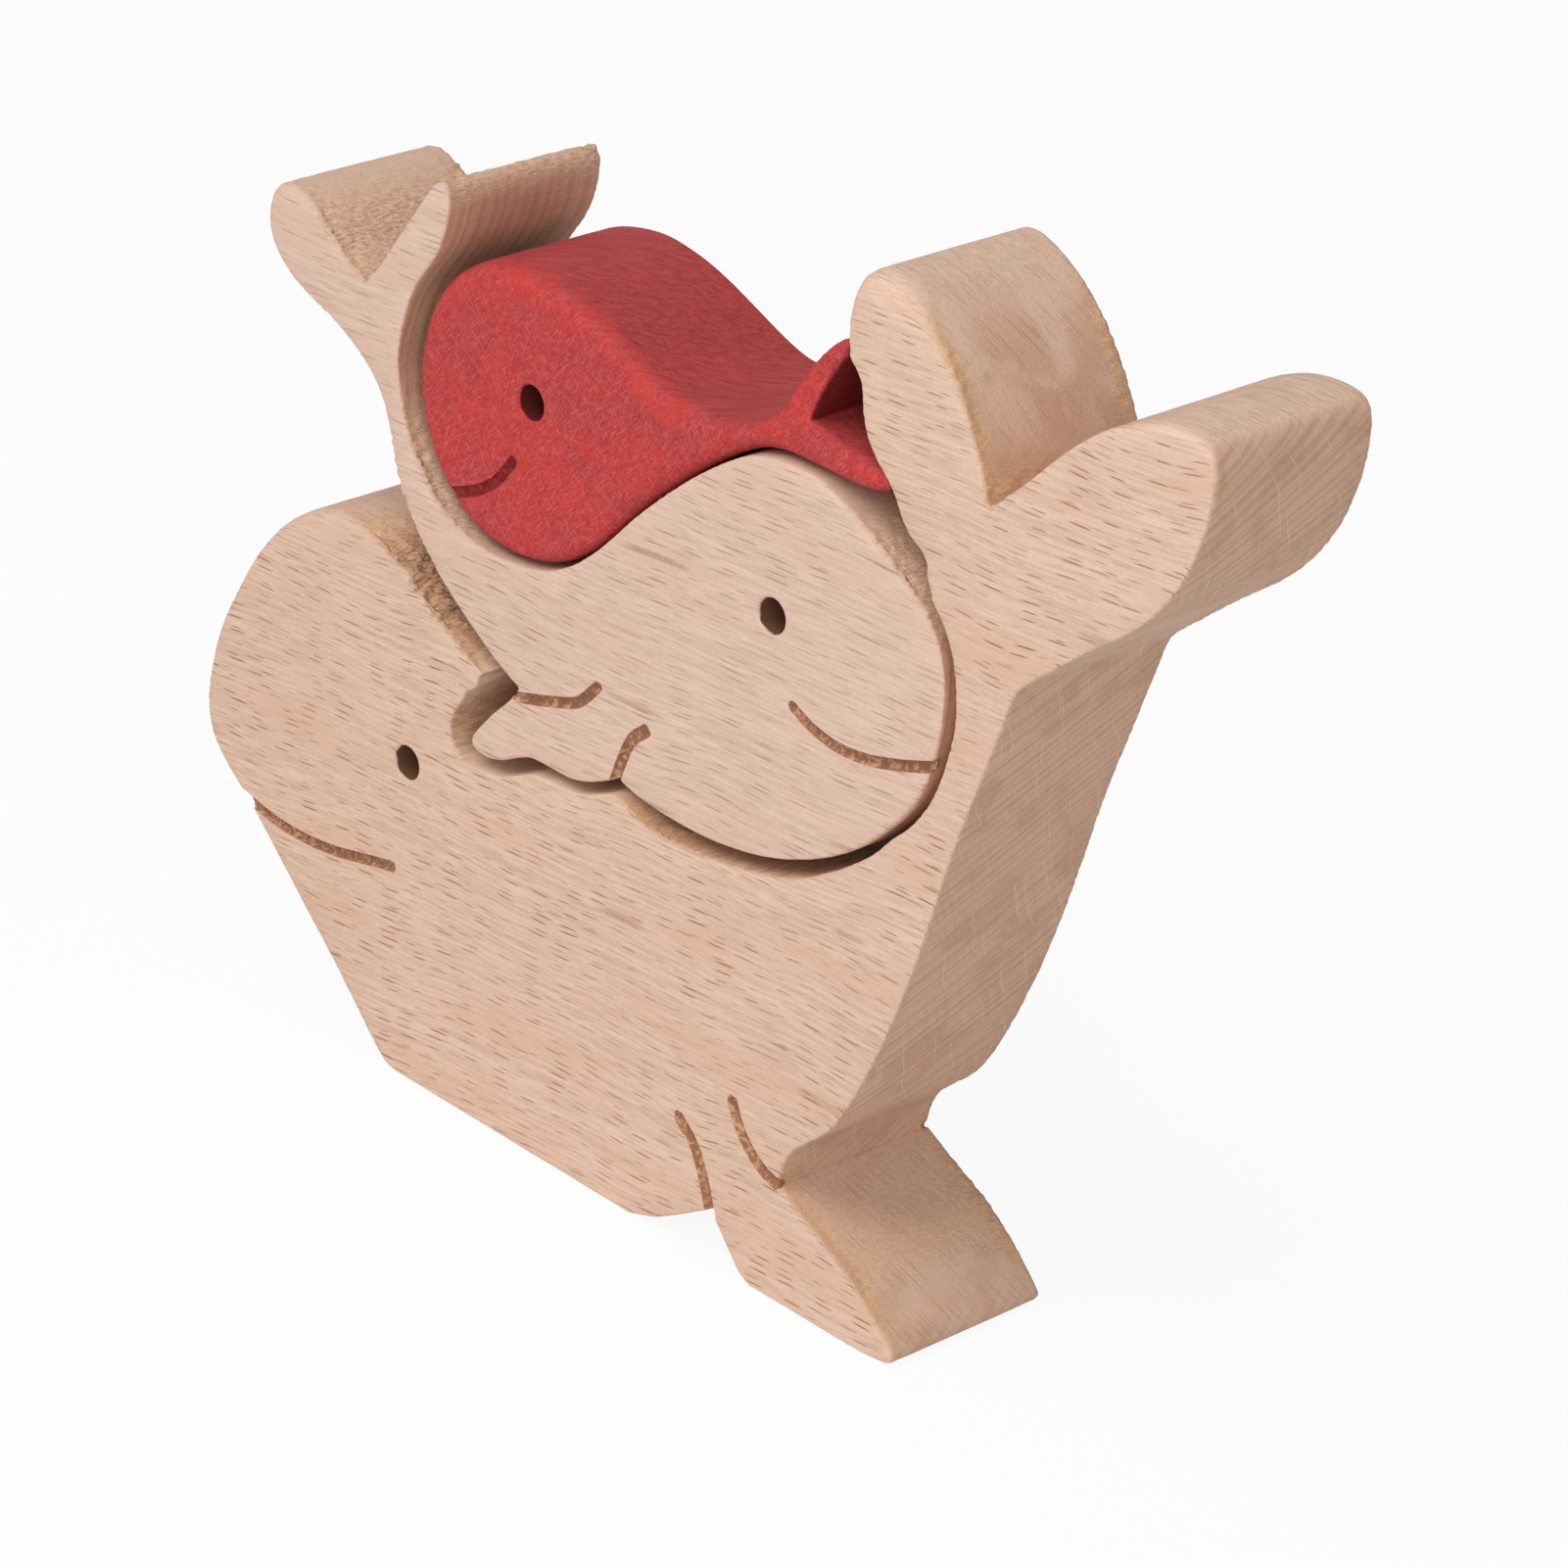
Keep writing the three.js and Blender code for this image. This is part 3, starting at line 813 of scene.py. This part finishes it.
def saw_and_sanding():
    """What tools leave on wood: the blade's lines, and fuzz, tufts, crumbs and hairs of fibre."""
    group, given, result = new_group(
        "saw_and_sanding",
        [
            ("Place", "NodeSocketVector", None),
            ("Run", "NodeSocketFloat", 0.0),
        ],
        ["Saw Lines", "Fuzz", "Tufts", "Crumbs", "Hairs"],
    )
    place = in_millimetres(group, given["Place"])
    across, depth, up = wire(group, "ShaderNodeSeparateXYZ", {0: place}).outputs
    slanted = calculate(group, "MULTIPLY_ADD", depth, BLADE_SLANT, given["Run"])
    strokes = stretched(group, (slanted, 0.45), (depth, 3.6))
    saw = noisy(group, strokes, scale=1.0, detail=3.0, roughness=0.6)
    fuzz = noisy(group, place, scale=2.4, detail=3.0, roughness=0.65)
    tufts = noisy(group, place, scale=0.9, detail=3.0, distortion=1.2)
    bits = stretched(group, (slanted, 0.38), (depth, 1.2))
    crumbs = noisy(group, bits, scale=1.0, detail=4.0, roughness=0.7)
    hairs = 0.0
    for angle in HAIR_ANGLES:
        along, beside = turned(group, across, up, angle)
        strands = stretched(group, (along, 1.8), (beside, 0.2), (depth, 1.1))
        hair = noisy(group, strands, scale=1.0, detail=1.0)
        hairs = calculate(group, "MAXIMUM", hairs, ranged(group, hair, 0.56, 0.72))
    put_out(group, result, {
        "Saw Lines": saw, "Fuzz": fuzz, "Tufts": tufts, "Crumbs": crumbs, "Hairs": hairs,
    })
    return group


# Woods

# Tones of each finish and of the painted light, shade and highlight, then how strongly a whale
# shows it, then the run of its grain where it isn't the figure's own
BIG_WOOD = {
    "face": colour(229, 198, 176), "face_dark": colour(206, 171, 148),
    "warm": colour(219, 179, 152), "fleck": colour(160, 112, 84), "streak": colour(170, 122, 94),
    "wall": colour(221, 189, 169), "wall_dark": colour(205, 171, 149),
    "end": colour(213, 174, 149), "end_dark": colour(168, 127, 103),
    "blotch": colour(188, 143, 115), "cloud": colour(220, 187, 164), "ray": colour(232, 202, 178),
    "golden": colour(216, 176, 138), "bed": colour(186, 141, 111),
    # The smoothed tone is lighter than the face: painted light for the shaded slot walls
    "bed_light": colour(226, 186, 155), "smoothed": colour(230, 203, 180),
    "torn": colour(234, 194, 158), "torn_dark": colour(134, 84, 54),
    # The tone of the upper front ridges is a painted highlight
    "torn_rim": colour(212, 164, 122), "worn": colour(230, 199, 176),
    "mottle": colour(205, 168, 143), "speck": colour(238, 210, 190),
    # The cut tones are dark partly from burning and partly as painted shade in the grooves, and the
    # hole tone is painted shade in the eyes
    "cut": colour(152, 104, 74), "cut_light": colour(206, 161, 127), "hole": colour(112, 76, 52),
}
BIG_SHARES = {
    "fleck": 0.95, "wall_fleck": 0.8, "ring": 0.55, "ray": 0.5, "wall": 0.7, "golden": 0.5,
    "torn_rim": 0.6, "worn": 0.15, "mottle": 0.15, "speck": 0.2, "hair": 0.1, "patch": 0.0,
    "fuzz": 0.16,
}
MEDIUM_WOOD = {
    **BIG_WOOD,
    "face": colour(228, 198, 180), "face_dark": colour(208, 176, 156),
    "warm": colour(220, 184, 161), "fleck": colour(158, 111, 85), "streak": colour(160, 115, 90),
    "wall": colour(213, 180, 158), "end": colour(210, 160, 132), "end_dark": colour(164, 109, 85),
    "blotch": colour(190, 140, 114), "torn": colour(240, 206, 180),
    "torn_dark": colour(164, 116, 86), "torn_rim": colour(204, 156, 118),
}
MEDIUM_SHARES = {
    **BIG_SHARES, "fleck": 0.6, "wall_fleck": 0.0, "ring": 0.6, "ray": 0.1, "torn_rim": 0.25,
}
MEDIUM_GRAIN = {
    "Grain Rise": 0.05, "Ring Slope": 1.5, "Ring Width": 1.9, "Fleck Length": 4.4,
    "Fleck Width": 0.28, "Fleck Gap": 0.95,
}
RED_WOOD = {
    "face": colour(186, 60, 61), "face_dark": colour(168, 47, 48), "warm": colour(198, 52, 45),
    "fleck": colour(150, 42, 44), "streak": colour(164, 50, 50), "wall": colour(181, 67, 66),
    # The red end grain is darker where the stain soaks in, and darker still as painted shade, set
    # for the shaded notch of the tail
    "wall_dark": colour(142, 42, 44), "end": colour(114, 18, 17), "end_dark": colour(90, 12, 12),
    "blotch": colour(106, 16, 15), "cloud": colour(140, 44, 42), "ray": colour(130, 32, 30),
    "golden": colour(196, 84, 82), "bed": colour(150, 46, 46), "bed_light": colour(178, 62, 60),
    "smoothed": colour(178, 62, 60), "torn": colour(206, 76, 66), "torn_dark": colour(150, 42, 42),
    "torn_rim": colour(206, 76, 66), "worn": colour(212, 58, 48), "mottle": colour(156, 34, 39),
    "speck": colour(222, 106, 102), "cut": colour(130, 28, 28), "cut_light": colour(180, 58, 56),
    "hole": colour(92, 26, 22),
}
RED_SHARES = {
    "fleck": 0.25, "wall_fleck": 0.15, "ring": 0.2, "ray": 0.1, "wall": 0.85, "golden": 0.2,
    "torn_rim": 0.0, "worn": 0.5, "mottle": 0.4, "speck": 0.3, "hair": 0.5, "patch": 0.6,
    "fuzz": 0.6,
}
RED_GRAIN = {"Grain Turn": 0.68}

# Gloss and relief of bare wood, with the relief in millimetres
WOOD_GLOSS = 0.3
RELIEF_STRENGTH = 0.8
RELIEF_DEPTH = 0.25


def wood_material(name, figure, tools, tones, shares, grain):
    """Sawn wood: flecked faces, browner end grain, rough beds, torn rims, cuts dark partly from
    burning and partly as painted shade, and holes dark as painted shade.
    """
    material = bpy.data.materials.new(name)
    material.use_nodes = True
    tree = material.node_tree
    shader = tree.nodes["Principled BSDF"]
    place = wire(tree, "ShaderNodeTexCoord").outputs["Object"]
    masks = {label: mask(tree, label) for label in Whale.MASKS}
    grown = wire(tree, "ShaderNodeGroup", {"Place": place, **grain}, node_tree=figure)
    worked = wire(tree, "ShaderNodeGroup", {"Place": place, "Run": masks["run"]}, node_tree=tools)
    effects = {output.name: output for output in [*grown.outputs, *worked.outputs]}
    tree.links.new(wood_colour(tree, effects, masks, tones, shares), shader.inputs["Base Color"])
    tree.links.new(ranged(tree, effects["Fuzz"], 0.3, 0.7, 0.64, 0.8), shader.inputs["Roughness"])
    shader.inputs["Specular IOR Level"].default_value = WOOD_GLOSS
    bump = wire(tree, "ShaderNodeBump", {
        "Strength": RELIEF_STRENGTH, "Distance": RELIEF_DEPTH * MM,
        "Height": wood_height(tree, effects, masks, shares),
    })
    tree.links.new(bump.outputs[0], shader.inputs["Normal"])
    return material


def wood_colour(tree, effects, masks, tones, shares):
    """The wood's colour, laid over in turn: face, wall, end grain, bed, tearing, cuts and eyes,
    with painted light in the slots and on the fin top, a painted highlight on upper ridges, and
    painted shade in the eyes and, beside burnt colour, in the cuts.
    """
    fuzz = ranged(tree, effects["Fuzz"], 0.5, 0.68)
    tufts = ranged(tree, effects["Tufts"], 0.42, 0.6)
    fibres = ranged(tree, effects["Fibres"], 0.32, 0.7)
    ends = ranged(tree, masks["end_grain"], 0.3, 0.85)
    clean = product(tree, ranged(tree, masks["torn"], 0.1, 0.6, 1.0, 0.15),
                    ranged(tree, masks["cloudy"], 0.15, 0.6, 1.0, 0.0))

    surface = blend(tree, fibres, tones["face"], tones["face_dark"])
    warmth = ranged(tree, effects["Warmth"], 0.45, 0.7, 0.0, 0.6)
    surface = blend(tree, warmth, surface, tones["warm"])
    surface = blend(tree, product(tree, effects["Streaks"], 0.6), surface, tones["streak"])
    patches = ranged(tree, effects["Blotches"], 0.46, 0.62)
    surface = blend(tree, product(tree, patches, shares["patch"]), surface, tones["warm"])
    surface = blend(tree, product(tree, tufts, shares["mottle"]), surface, tones["mottle"])
    surface = blend(tree, product(tree, fuzz, shares["speck"]), surface, tones["speck"])
    surface = blend(tree, product(tree, effects["Hairs"], shares["hair"]), surface, tones["speck"])
    wall = blend(tree, fibres, tones["wall"], tones["wall_dark"])
    surface = blend(tree, product(tree, masks["sawn"], shares["wall"]), surface, wall)

    rings = product(tree, effects["Rings"], clean, shares["ring"])
    end = blend(tree, rings, tones["end"], tones["end_dark"])
    blotches = ranged(tree, effects["Blotches"], 0.45, 0.66, 0.0, 0.5)
    end = blend(tree, blotches, end, tones["blotch"])
    # Pale sanded clouds in the end grain, strong enough to also paint light onto the fin top in the
    # tail's shade
    cloud = product(tree, masks["cloudy"], ranged(tree, effects["Blotches"], 0.36, 0.6, 0.8, 0.1))
    end = blend(tree, cloud, end, tones["cloud"])
    end = blend(tree, product(tree, effects["Rays"], clean, shares["ray"]), end, tones["ray"])
    surface = blend(tree, ends, surface, end)
    golden = product(tree, masks["sawn"], fuzz, shares["golden"])
    surface = blend(tree, golden, surface, tones["golden"])
    fleck_share = ranged(tree, masks["sawn"], 0.3, 1.0, shares["fleck"], shares["wall_fleck"])
    off_ends = ranged(tree, masks["end_grain"], 0.7, 0.95, 1.0, 0.15)
    flecks = product(tree, effects["Flecks"], product(tree, fleck_share, off_ends))
    surface = blend(tree, flecks, surface, tones["fleck"])

    strokes = ranged(tree, effects["Saw Lines"], 0.36, 0.64)
    bed = blend(tree, strokes, tones["bed"], tones["bed_light"])
    surface = blend(tree, product(tree, masks["bed"], 0.9), surface, bed)
    # Painted light: smoothed bed walls take a pale tone that lightens the shade in the slots
    surface = blend(tree, product(tree, masks["smoothed"], 0.85), surface, tones["smoothed"])
    depth = ranged(tree, masks["deep"], 0.45, 0.9)
    torn_dark = blend(tree, depth, tones["torn_rim"], tones["torn_dark"])
    torn = blend(tree, ranged(tree, effects["Crumbs"], 0.34, 0.64), torn_dark, tones["torn"])
    torn_share = product(tree, ranged(tree, masks["torn"], 0.1, 0.6, 0.0, 0.85), masks["sawn"])
    surface = blend(tree, torn_share, surface, torn)
    golden_rim = product(tree, masks["rim"], torn_share,
                         ranged(tree, tufts, 0.0, 1.0, 0.3, 1.0), shares["torn_rim"])
    surface = blend(tree, golden_rim, surface, tones["torn_rim"])
    # Painted highlight in patches along the upper front ridges
    patchy = product(tree, ranged(tree, effects["Blotches"], 0.42, 0.58),
                     ranged(tree, effects["Tufts"], 0.35, 0.6))
    worn = product(tree, masks["worn"], patchy, shares["worn"])
    surface = blend(tree, worn, surface, tones["worn"])
    # Cut lines: dark brown, partly burnt colour and partly painted shade in the grooves
    cut = blend(tree, ranged(tree, effects["Tufts"], 0.42, 0.7), tones["cut"], tones["cut_light"])
    surface = blend(tree, ranged(tree, masks["cut"], 0.02, 0.2), surface, cut)
    # Painted shade: the drilled wall of the eye takes a dark brown tone
    return blend(tree, masks["hole"], surface, tones["hole"])


def wood_height(tree, effects, masks, shares):
    """The wood's fine relief: fuzz, saw lines, sunken flecks, crumbs and the tufts in the cuts."""
    fuzz_share = calculate(tree, "MULTIPLY_ADD", masks["sawn"], 0.45, shares["fuzz"])
    height = product(tree, effects["Fuzz"], fuzz_share)
    on_walls = product(tree, masks["sawn"], 0.2)
    saw_share = calculate(tree, "MULTIPLY_ADD", masks["bed"], 1.6, on_walls)
    height = calculate(tree, "MULTIPLY_ADD", effects["Saw Lines"], saw_share, height)
    height = calculate(tree, "MULTIPLY_ADD", effects["Flecks"], -0.16, height)
    torn_share = product(tree, masks["torn"], masks["sawn"], 3.6)
    height = calculate(tree, "MULTIPLY_ADD", effects["Crumbs"], torn_share, height)
    return calculate(tree, "MULTIPLY_ADD", effects["Tufts"], masks["cut"], height)


# Floor, light and camera

# In metres, with the drop of the floor under the whales in millimetres
WORLD_LIGHT = 0.24
FLOOR_GLOW = 0.92
FLOOR_TONE = 0.86
FLOOR_REACH = 4.0
FLOOR_DROP = 0.1
MIDDLE = (0.0, 0.0, 0.07)

# Lamps as their place, width and power
KEY_LAMP = ((-0.25, -0.8, 1.6), 1.2, 18)
FILL_LAMP = ((0.85, -0.95, 0.72), 1.0, 8.8)

# Camera of the photograph: its place, the way it faces and its lens
CAMERA_PLACE = (528.2, -530.0, 428.9)
CAMERA_FORWARD = (-0.62677, 0.64227, -0.44120)
CAMERA_RIGHT = (0.68804, 0.72194, 0.07353)
CAMERA_LENS = 143.91
CAMERA_SENSOR = 36.0


def watched_rays(tree):
    """1 for the rays by which the camera or a glossy surface sees the background, else 0."""
    seen = wire(tree, "ShaderNodeLightPath").outputs
    return calculate(tree, "MAXIMUM", seen["Is Camera Ray"], seen["Is Glossy Ray"])


def pale_floor():
    """A large floor that looks white from the camera and still takes the whales' shadow."""
    mesh = bpy.data.meshes.new("floor")
    corners = [(-FLOOR_REACH, -FLOOR_REACH, 0), (FLOOR_REACH, -FLOOR_REACH, 0),
               (FLOOR_REACH, FLOOR_REACH, 0), (-FLOOR_REACH, FLOOR_REACH, 0)]
    mesh.from_pydata(corners, [], [(0, 1, 2, 3)])
    floor = bpy.data.objects.new("floor", mesh)
    floor.location.z = -FLOOR_DROP * MM
    bpy.context.scene.collection.objects.link(floor)
    material = bpy.data.materials.new("pale_floor")
    material.use_nodes = True
    tree = material.node_tree
    shader = tree.nodes["Principled BSDF"]
    shader.inputs["Base Color"].default_value = (FLOOR_TONE, FLOOR_TONE, FLOOR_TONE, 1)
    shader.inputs["Roughness"].default_value = 0.9
    shader.inputs["Specular IOR Level"].default_value = 0.1
    glow = wire(tree, "ShaderNodeEmission", {"Color": (1, 1, 1, 1), "Strength": 1.0})
    share = product(tree, watched_rays(tree), FLOOR_GLOW)
    mix = wire(tree, "ShaderNodeMixShader", {0: share, 1: shader.outputs[0], 2: glow.outputs[0]})
    tree.links.new(mix.outputs[0], tree.nodes["Material Output"].inputs["Surface"])
    mesh.materials.append(material)


def soft_lamp(name, place, width, power):
    light = bpy.data.lights.new(name, "AREA")
    light.size = width
    light.energy = power
    lamp = bpy.data.objects.new(name, light)
    lamp.location = place
    lamp.rotation_euler = (Vector(MIDDLE) - Vector(place)).to_track_quat("-Z", "Y").to_euler()
    bpy.context.scene.collection.objects.link(lamp)


def studio_world():
    """Even light from all round, and plain white where the camera looks past the floor."""
    world = bpy.data.worlds.new("studio")
    bpy.context.scene.world = world
    world.use_nodes = True
    tree = world.node_tree
    background = tree.nodes["Background"]
    background.inputs["Color"].default_value = (1, 1, 1, 1)
    strength = ranged(tree, watched_rays(tree), 0.0, 1.0, WORLD_LIGHT, 1.0)
    tree.links.new(strength, background.inputs["Strength"])


def photo_camera():
    camera = bpy.data.cameras.new("photo_camera")
    camera.lens = CAMERA_LENS
    camera.sensor_width = CAMERA_SENSOR
    camera.dof.use_dof = False
    holder = bpy.data.objects.new("photo_camera", camera)
    back = -Vector(CAMERA_FORWARD).normalized()
    right = (Vector(CAMERA_RIGHT) - back * Vector(CAMERA_RIGHT).dot(back)).normalized()
    turn = Matrix((right, back.cross(right), back)).transposed().to_4x4()
    holder.matrix_world = Matrix.Translation(Vector(CAMERA_PLACE) * MM) @ turn
    bpy.context.scene.collection.objects.link(holder)
    bpy.context.scene.camera = holder


# The set of whales

big = Whale("big_whale", 1, BIG_EDGE, BIG_SOFT_PLACES, BIG_LINES, BIG_TORN_PLACES, BIG_EASED_PLACES,
            BIG_CLOUDY_PLACES)
medium = Whale("medium_whale", 2, MEDIUM_EDGE, MEDIUM_SOFT_PLACES, MEDIUM_LINES, MEDIUM_TORN_PLACES,
               MEDIUM_EASED_PLACES, soft_corners=MEDIUM_SOFT_CORNERS)
small = Whale("small_whale", 3, SMALL_EDGE, SMALL_SOFT_PLACES, SMALL_LINES)
big.lay_bed(medium, BIG_SMOOTHED_PLACES)
big.lay_bed(small)

figure = beech_figure()
tools = saw_and_sanding()
big_wood = wood_material("planed_beech", figure, tools, BIG_WOOD, BIG_SHARES, {})
medium_wood = wood_material("pale_beech", figure, tools, MEDIUM_WOOD, MEDIUM_SHARES, MEDIUM_GRAIN)
red_wood = wood_material("red_stained_beech", figure, tools, RED_WOOD, RED_SHARES, RED_GRAIN)

for whale, wood, slot in ((big, big_wood, "beech"), (medium, medium_wood, "beech"),
                          (small, red_wood, "red_stained_beech")):
    carved = whale.build()
    carved.data.materials.append(wood)

pale_floor()
studio_world()
soft_lamp("key", *KEY_LAMP)
soft_lamp("fill", *FILL_LAMP)
photo_camera()
bpy.context.scene.view_settings.view_transform = "Standard"
